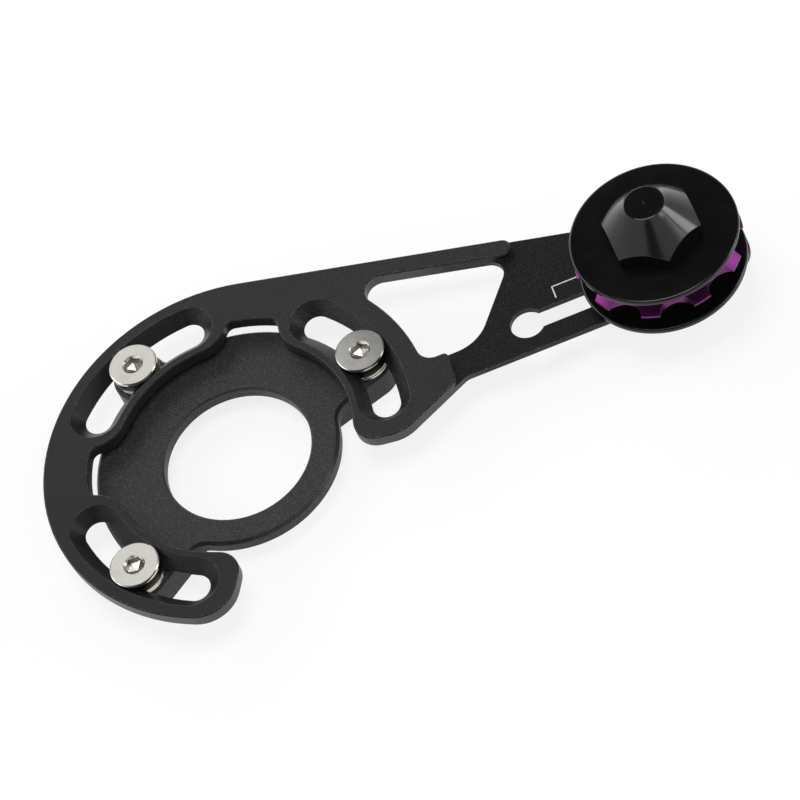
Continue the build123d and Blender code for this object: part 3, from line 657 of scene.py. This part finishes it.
toothMesh = meshFromRings("tooth", spun(toothProfile, toothTurns()), True, False)
toothSource = linkedObject("toothSource", toothMesh)
wheelTree, wheelIn = startTree("teeth round a hub", {
    "Tooth": "NodeSocketObject", "Teeth": "NodeSocketInt", "First tooth": "NodeSocketFloat",
    "Finish": "NodeSocketMaterial"})
wheelPoints = addNode(wheelTree, "GeometryNodePoints", {"Count": wheelIn.outputs["Teeth"]})
wheelIndex = addNode(wheelTree, "GeometryNodeInputIndex")
wheelStep = addNode(wheelTree, "ShaderNodeMath", {
    0: 2 * math.pi, 1: wheelIn.outputs["Teeth"]}, operation="DIVIDE")
wheelTurn = addNode(wheelTree, "ShaderNodeMath", {
    0: wheelIndex.outputs[0], 1: wheelStep.outputs[0],
    2: wheelIn.outputs["First tooth"]}, operation="MULTIPLY_ADD")
wheelSpin = addNode(wheelTree, "ShaderNodeCombineXYZ", {"Z": wheelTurn.outputs[0]})
wheelTooth = addNode(wheelTree, "GeometryNodeObjectInfo", {"Object": wheelIn.outputs["Tooth"]})
wheelCopies = addNode(wheelTree, "GeometryNodeInstanceOnPoints", {
    "Points": wheelPoints.outputs["Points"], "Instance": wheelTooth.outputs["Geometry"],
    "Rotation": wheelSpin.outputs[0]})
wheelReal = addNode(wheelTree, "GeometryNodeRealizeInstances", {"Geometry": wheelCopies.outputs["Instances"]})
wheelWhole = addNode(wheelTree, "GeometryNodeMergeByDistance", {
    "Geometry": wheelReal.outputs["Geometry"], "Distance": wheel["weld"] * mm})
wheelPlaced = addNode(wheelTree, "GeometryNodeTransform", {
    "Geometry": wheelWhole.outputs["Geometry"], "Translation": pulleyCentre})
wheelPainted = addNode(wheelTree, "GeometryNodeSetMaterial", {
    "Geometry": wheelPlaced.outputs["Geometry"], "Material": wheelIn.outputs["Finish"]})
addNode(wheelTree, "NodeGroupOutput", {"Geometry": wheelPainted.outputs["Geometry"]})
wheelMesh = runTree(wheelTree, "toothedWheel", bpy.data.meshes.new("wheelStart"), {
    "Tooth": toothSource, "Teeth": wheel["teeth"], "First tooth": math.radians(wheel["firstTooth"]),
    "Finish": purpleFinish})
bpy.data.objects.remove(toothSource)
wheelMesh.set_sharp_from_angle(angle=sharpAngle)
addPiece("toothedWheel", wheelMesh, None, "wheel", ["toothed_wheel"])

# Clamp screws: countersunk heads with hex sockets and a real thread. The socket's floor is a six-sided point.
# rimStep, rimDrop and rimBreak round the head's edge, cornerTurn is where a socket's corner points, and the
# groove values shape the thread: grooveFlat over one leaves a flat root, and grooveSlope is its walls.
screwSides = ("right", "upper", "lower")
screwBoxes = [boxMm("clamp_screw_" + side) for side in screwSides]
screw = {
    "headRadius": (screwBoxes[0][1].x - screwBoxes[0][0].x) / 2, "rimHeight": 0.7, "rimChamfer": 0.3,
    "rimStep": 0.06, "rimDrop": 0.08, "rimBreak": 0.6, "faceRing": 0.7, "radius": 2.98,
    "socketAcross": 4.0, "socketDepth": 2.1, "socketRim": 2.55, "socketDish": 0.48, "socketShade": 0.6,
    "shadeFade": 0.06, "coneShadeFrom": 0.1, "pitch": 1.0, "threadDepth": 0.55, "threadRows": 10,
    "threadFade": 0.6, "grooveFlat": 1.15, "grooveSlope": 1.9, "tipChamfer": 0.6, "steps": 96,
    "cornerTurn": {"right": 25, "upper": 31, "lower": -2},
    "tarnish": {"right": 0.8, "upper": 0.05, "lower": 0.0},
}
screwTop = screwBoxes[0][1].z
screwTip = screwBoxes[0][0].z


def screwProfile(angle):
    s = screw
    reach = hexReach(s["socketAcross"], 0, angle)
    socketFloor = screwTop - s["socketDepth"]
    wallTop = screwTop - (s["socketRim"] - reach)
    head, rimBottom = s["headRadius"], screwTop - s["rimHeight"]
    coneBottom = rimBottom - (head - s["radius"])
    points = [(0, socketFloor - s["socketDish"]), (reach, socketFloor), (reach, socketFloor + s["shadeFade"])]
    points += [(reach, wallTop - s["shadeFade"]), (reach, wallTop), (s["socketRim"], screwTop)]
    points += [(head * s["faceRing"], screwTop), (head - s["rimChamfer"], screwTop)]
    points += [(head - s["rimStep"], screwTop - s["rimChamfer"] * s["rimBreak"])]
    points += [(head, screwTop - s["rimChamfer"] - s["rimDrop"])]
    points += [(head, rimBottom + s["rimStep"]), (head - s["rimStep"], rimBottom), (s["radius"], coneBottom)]
    rows = int((coneBottom - screwTip) / s["pitch"] * s["threadRows"])
    for i in range(1, rows + 1):
        z = coneBottom - (coneBottom - screwTip) * i / rows
        phase = (z / s["pitch"] - angle / (2 * math.pi)) % 1.0
        depth = s["grooveFlat"] - abs(phase * 2 - 1) * s["grooveSlope"]
        groove = min(1.0, max(0.0, depth)) * s["threadDepth"]
        fade = min(1.0, (coneBottom - z) / s["threadFade"])
        tip = max(0.0, s["tipChamfer"] - (z - screwTip))
        points.append((s["radius"] - max(groove * fade, tip), z))
    points.append((0, screwTip))
    return points


def keepLocal(mesh, shadeAt):
    # keeps each point's place on the single piece, for the turning rings, and how much brown shade is
    # painted there
    local = mesh.attributes.new("local", "FLOAT_VECTOR", "POINT")
    local.data.foreach_set("vector", [c for v in mesh.vertices for c in v.co])
    shadeShares = [shadeAt(v.co.xy.length / mm, v.co.z / mm) for v in mesh.vertices]
    paintedShade = mesh.attributes.new("paintedShade", "FLOAT", "POINT")
    paintedShade.data.foreach_set("value", shadeShares)


def screwShade(r, z):
    # painted shade on the socket's walls, and on what is under the head's rim
    s = screw
    if r < s["socketRim"]:
        wallLow = screwTop - s["socketDepth"] + s["shadeFade"] / 2
        wallHigh = screwTop - (s["socketRim"] - r) - s["shadeFade"] / 2
        return s["socketShade"] if wallLow < z < wallHigh else 0.0
    return 1.0 if z < screwTop - s["rimHeight"] - s["coneShadeFrom"] else 0.0


def pointMesh(name, points, attributes):
    mesh = bpy.data.meshes.new(name)
    mesh.from_pydata([[c * mm for c in p] for p in points], [], [])
    for attributeName, values in attributes.items():
        attribute = mesh.attributes.new(attributeName, "FLOAT", "POINT")
        attribute.data.foreach_set("value", values)
    return mesh


screwMesh = meshFromRings("screw", spun(screwProfile, fullTurn(screw["steps"])), False, True)
keepLocal(screwMesh, screwShade)
screwSource = linkedObject("screwSource", screwMesh)
screwPlaces = [((low.x + high.x) / 2, (low.y + high.y) / 2, 0) for low, high in screwBoxes]
screwTurns = [math.radians(screw["cornerTurn"][side]) for side in screwSides]
tarnishes = [screw["tarnish"][side] for side in screwSides]
screwTree, screwIn = startTree("screws on their places", {
    "Screw": "NodeSocketObject", "Finish": "NodeSocketMaterial"})
screwTurn = addNode(screwTree, "GeometryNodeInputNamedAttribute", {"Name": "turn"})
screwSpin = addNode(screwTree, "ShaderNodeCombineXYZ", {"Z": screwTurn.outputs["Attribute"]})
screwShape = addNode(screwTree, "GeometryNodeObjectInfo", {"Object": screwIn.outputs["Screw"]})
screwCopies = addNode(screwTree, "GeometryNodeInstanceOnPoints", {
    "Points": screwIn.outputs["Geometry"], "Instance": screwShape.outputs["Geometry"],
    "Rotation": screwSpin.outputs[0]})
screwReal = addNode(screwTree, "GeometryNodeRealizeInstances", {"Geometry": screwCopies.outputs["Instances"]})
screwPainted = addNode(screwTree, "GeometryNodeSetMaterial", {
    "Geometry": screwReal.outputs["Geometry"], "Material": screwIn.outputs["Finish"]})
addNode(screwTree, "NodeGroupOutput", {"Geometry": screwPainted.outputs["Geometry"]})
screwsMesh = runTree(screwTree, "clampScrews", pointMesh("screwPlaces", screwPlaces, {
    "turn": screwTurns, "tarnish": tarnishes}), {"Screw": screwSource, "Finish": steelFinish})
bpy.data.objects.remove(screwSource)
screwNodes = ["clamp_screw_" + side for side in screwSides]
addPiece("clampScrews", screwsMesh, None, "mount", screwNodes)

# Shim washers: thin rings with broken edges, stacked a little off centre under each head.
# The inset keeps a slipped shim inside its place, and play lets the plate slide clear of them.
shimLow, shimHigh = boxMm("shim_washer_right_1")
shim = {
    "inset": 0.14, "hole": 3.39, "play": 0.01, "edge": 0.08, "brightEdge": 0.2, "stack": 2, "slip": 0.13,
    "seed": 7, "steps": 96,
}
shim["radius"] = (shimHigh.x - shimLow.x) / 2 - shim["inset"]
shim["thickness"] = shimHigh.z - shimLow.z - shim["play"]


def shimProfile(angle):
    s = shim
    e, t = s["edge"], s["thickness"]
    inner, outer = s["hole"], s["radius"]
    bright = outer - e - s["brightEdge"]
    return [(inner, e), (inner + e, 0), (bright, 0), (outer - e, 0), (outer, e),
            (outer, t - e), (outer - e, t), (bright, t), (inner + e, t), (inner, t - e)]


def shimShade(r, z):
    # painted shade on all but the bright outer edge
    return 1.0 if r < shim["radius"] - shim["edge"] - shim["brightEdge"] / 2 else 0.0


shimMesh = meshFromRings("shim", spun(shimProfile, fullTurn(shim["steps"])), True, True)
keepLocal(shimMesh, shimShade)
shimSource = linkedObject("shimSource", shimMesh)
shimTree, shimIn = startTree("stacked shims", {
    "Shim": "NodeSocketObject", "Stack": "NodeSocketInt", "Thickness": "NodeSocketFloat",
    "Slip": "NodeSocketFloat", "Seed": "NodeSocketInt", "Finish": "NodeSocketMaterial"})
shimStack = addNode(shimTree, "GeometryNodeDuplicateElements", {
    "Geometry": shimIn.outputs["Geometry"], "Amount": shimIn.outputs["Stack"]}, domain="POINT")
shimLift = addNode(shimTree, "ShaderNodeMath", {
    0: shimStack.outputs["Duplicate Index"], 1: shimIn.outputs["Thickness"]}, operation="MULTIPLY")
shimAngle = addNode(shimTree, "FunctionNodeRandomValue", {
    2: 0.0, 3: 2 * math.pi, "Seed": shimIn.outputs["Seed"]}, data_type="FLOAT")
shimCos = addNode(shimTree, "ShaderNodeMath", {0: shimAngle.outputs[1]}, operation="COSINE")
shimSin = addNode(shimTree, "ShaderNodeMath", {0: shimAngle.outputs[1]}, operation="SINE")
shimX = addNode(shimTree, "ShaderNodeMath", {
    0: shimCos.outputs[0], 1: shimIn.outputs["Slip"]}, operation="MULTIPLY")
shimY = addNode(shimTree, "ShaderNodeMath", {
    0: shimSin.outputs[0], 1: shimIn.outputs["Slip"]}, operation="MULTIPLY")
shimShift = addNode(shimTree, "ShaderNodeCombineXYZ", {
    "X": shimX.outputs[0], "Y": shimY.outputs[0], "Z": shimLift.outputs[0]})
shimMoved = addNode(shimTree, "GeometryNodeSetPosition", {
    "Geometry": shimStack.outputs["Geometry"], "Offset": shimShift.outputs[0]})
shimShape = addNode(shimTree, "GeometryNodeObjectInfo", {"Object": shimIn.outputs["Shim"]})
shimCopies = addNode(shimTree, "GeometryNodeInstanceOnPoints", {
    "Points": shimMoved.outputs["Geometry"], "Instance": shimShape.outputs["Geometry"]})
shimReal = addNode(shimTree, "GeometryNodeRealizeInstances", {"Geometry": shimCopies.outputs["Instances"]})
shimPainted = addNode(shimTree, "GeometryNodeSetMaterial", {
    "Geometry": shimReal.outputs["Geometry"], "Material": shimIn.outputs["Finish"]})
addNode(shimTree, "NodeGroupOutput", {"Geometry": shimPainted.outputs["Geometry"]})
shimPlaces = [(x, y, shimLow.z) for x, y, z in screwPlaces]
shimPoints = pointMesh("shimPlaces", shimPlaces, {"tarnish": [0.0] * len(shimPlaces)})
shimsMesh = runTree(shimTree, "shimWashers", shimPoints, {
    "Shim": shimSource, "Stack": shim["stack"], "Thickness": shim["thickness"] * mm,
    "Slip": shim["slip"] * mm, "Seed": shim["seed"], "Finish": shimFinish})
bpy.data.objects.remove(shimSource)
shimNodes = ["shim_washer_%s_%d" % (side, i + 1) for side in screwSides for i in range(shim["stack"])]
addPiece("shimWashers", shimsMesh, None, "mount", shimNodes)

# Index mark on the arm: a thin printed angle that shows where the pulley sits
mark = {"corner": (80.1, 9.2), "reach": 9.0, "drop": 3.5, "line": 0.32, "ink": 0.02}


def indexMesh():
    left, top = mark["corner"]
    right, bottom, line = left + mark["reach"], top - mark["drop"], mark["line"]
    armTop = collarLow.z / mm
    outline = [(left, top), (right, top), (right, top - line), (left + line, top - line),
               (left + line, bottom), (left, bottom)]
    shape = bmesh.new()
    lower = [shape.verts.new((x * mm, y * mm, armTop * mm)) for x, y in outline]
    upper = [shape.verts.new((x * mm, y * mm, (armTop + mark["ink"]) * mm)) for x, y in outline]
    shape.faces.new(upper)
    shape.faces.new(list(reversed(lower)))
    for i in range(len(outline)):
        j = (i + 1) % len(outline)
        shape.faces.new((lower[i], lower[j], upper[j], upper[i]))
    bmesh.ops.recalc_face_normals(shape, faces=shape.faces)
    mesh = bpy.data.meshes.new("indexMark")
    shape.to_mesh(mesh)
    shape.free()
    return mesh


addPiece("indexMark", indexMesh(), inkFinish, "plate", [])

# Studio floor, in metres: grey where it lights the object from below, and lifted to white where it is seen
floorLook = {"size": 10.0, "gap": 0.0002, "colour": "#808080", "lift": 0.81}
half = floorLook["size"] / 2
floorZ = cadLow.z - floorLook["gap"]
floorCorners = [(x * half, y * half, floorZ) for x, y in ((-1, -1), (1, -1), (1, 1), (-1, 1))]
floorMesh = bpy.data.meshes.new("floor")
floorMesh.from_pydata(floorCorners, [], [(0, 1, 2, 3)])
floor = linkedObject("floor", floorMesh)
floorFinish, floorTree = startMaterial("pale matt floor")
floorBase = addNode(floorTree, "ShaderNodeBsdfDiffuse", {"Color": linearColour(floorLook["colour"])})
rayKind = addNode(floorTree, "ShaderNodeLightPath")
seen = addNode(floorTree, "ShaderNodeMath", {
    0: rayKind.outputs["Is Camera Ray"], 1: rayKind.outputs["Is Glossy Ray"]}, operation="MAXIMUM")
seenToo = addNode(floorTree, "ShaderNodeMath", {
    0: seen.outputs[0], 1: rayKind.outputs["Is Transmission Ray"]}, operation="MAXIMUM")
liftPower = addNode(floorTree, "ShaderNodeMath", {
    0: seenToo.outputs[0], 1: floorLook["lift"]}, operation="MULTIPLY")
floorLift = addNode(floorTree, "ShaderNodeEmission", {"Strength": liftPower.outputs[0]})
floorSum = addNode(floorTree, "ShaderNodeAddShader", {0: floorBase.outputs[0], 1: floorLift.outputs[0]})
addNode(floorTree, "ShaderNodeOutputMaterial", {"Surface": floorSum.outputs[0]})
floorMesh.materials.append(floorFinish)

# Camera, where it was solved to be from edges in the photo
cameraLook = {
    "aim": (39.226, -6.145, 7.0), "distance": 721.46, "elevation": 52.67, "azimuth": 4.628, "roll": -25.324,
    "lens": 144.702, "sensor": 36, "clipStart": 10,
}
aim = Vector(cameraLook["aim"]) * mm


def directionTo(azimuth, elevation):
    # azimuth 0 is towards -Y, and 90 towards +X
    a, e = math.radians(azimuth), math.radians(elevation)
    return Vector((math.sin(a) * math.cos(e), -math.cos(a) * math.cos(e), math.sin(e)))


def facingAim(direction):
    # the turn of a camera or lamp that looks back at the aim from this direction
    return (-direction).to_track_quat("-Z", "Y")


camera = linkedObject("camera", bpy.data.cameras.new("camera"))
toCamera = directionTo(cameraLook["azimuth"], cameraLook["elevation"])
camera.location = aim + toCamera * cameraLook["distance"] * mm
camera.rotation_mode = "QUATERNION"
rolled = Quaternion((0, 0, 1), math.radians(cameraLook["roll"]))
camera.rotation_quaternion = facingAim(toCamera) @ rolled
camera.data.lens = cameraLook["lens"]
camera.data.sensor_width = cameraLook["sensor"]
camera.data.clip_start = cameraLook["clipStart"] * mm
bpy.context.scene.camera = camera

# Soft boxes round the aim, with distances and sizes in metres and power in watts
softBoxes = {
    "overhead": {"azimuth": 184, "elevation": 86, "distance": 1.1, "size": (0.55, 0.55), "power": 4.6},
    "back": {"azimuth": 212, "elevation": 27, "distance": 1.0, "size": (1.7, 0.5), "power": 3.9},
    "right": {"azimuth": 82, "elevation": 12, "distance": 1.0, "size": (0.35, 0.3), "power": 1.95},
    "rightFill": {"azimuth": 57, "elevation": 16, "distance": 1.0, "size": (0.34, 0.22), "power": 0.86},
    "rightHigh": {"azimuth": 91, "elevation": 41, "distance": 1.0, "size": (0.26, 0.26), "power": 0.6},
    "left": {"azimuth": -100, "elevation": 34, "distance": 1.0, "size": (0.5, 0.35), "power": 0.6},
}
for boxName, box in softBoxes.items():
    light = bpy.data.lights.new(boxName, "AREA")
    light.shape = "RECTANGLE"
    light.size, light.size_y = box["size"]
    light.energy = box["power"]
    lamp = linkedObject(boxName, light)
    toLamp = directionTo(box["azimuth"], box["elevation"])
    lamp.location = aim + toLamp * box["distance"]
    lamp.rotation_mode = "QUATERNION"
    lamp.rotation_quaternion = facingAim(toLamp)

# Room: pale walls up to wallTop, a dark ceiling above ceilingFrom, and dark gaps that fade outwards
worldLook = {"wall": 1.2, "ceiling": 0.06, "wallTop": 32, "ceilingFrom": 43}
darkGaps = {
    "cameraSide": {"azimuth": -13, "elevation": 27, "inner": 5, "outer": 19, "level": 0.15},
    "doorway": {"azimuth": 128, "elevation": 22, "inner": 12, "outer": 30, "level": 0.25},
    "corner": {"azimuth": 64, "elevation": 36, "inner": 9, "outer": 18, "level": 0.15},
}
world = bpy.data.worlds.new("studio")
world.use_nodes = True
room = world.node_tree
room.nodes.clear()
toward = addNode(room, "ShaderNodeTexCoord").outputs["Generated"]
upward = addNode(room, "ShaderNodeSeparateXYZ", {"Vector": toward}).outputs["Z"]
roomLight = addNode(room, "ShaderNodeMapRange", {
    "Value": upward, "From Min": math.sin(math.radians(worldLook["wallTop"])),
    "From Max": math.sin(math.radians(worldLook["ceilingFrom"])), "To Min": worldLook["wall"],
    "To Max": worldLook["ceiling"]}, interpolation_type="SMOOTHSTEP").outputs["Result"]
for gap in darkGaps.values():
    nearness = addNode(room, "ShaderNodeVectorMath", {
        0: toward, 1: directionTo(gap["azimuth"], gap["elevation"])},
        operation="DOT_PRODUCT").outputs["Value"]
    shade = addNode(room, "ShaderNodeMapRange", {
        "Value": nearness, "From Min": math.cos(math.radians(gap["outer"])),
        "From Max": math.cos(math.radians(gap["inner"])), "To Min": 1.0, "To Max": gap["level"]},
        interpolation_type="SMOOTHSTEP").outputs["Result"]
    roomLight = addNode(room, "ShaderNodeMath", {0: roomLight, 1: shade}, operation="MULTIPLY").outputs[0]
roomGlow = addNode(room, "ShaderNodeBackground", {"Strength": roomLight})
addNode(room, "ShaderNodeOutputWorld", {"Surface": roomGlow.outputs[0]})
bpy.context.scene.world = world
print("studio ready:", len(softBoxes), "soft boxes")
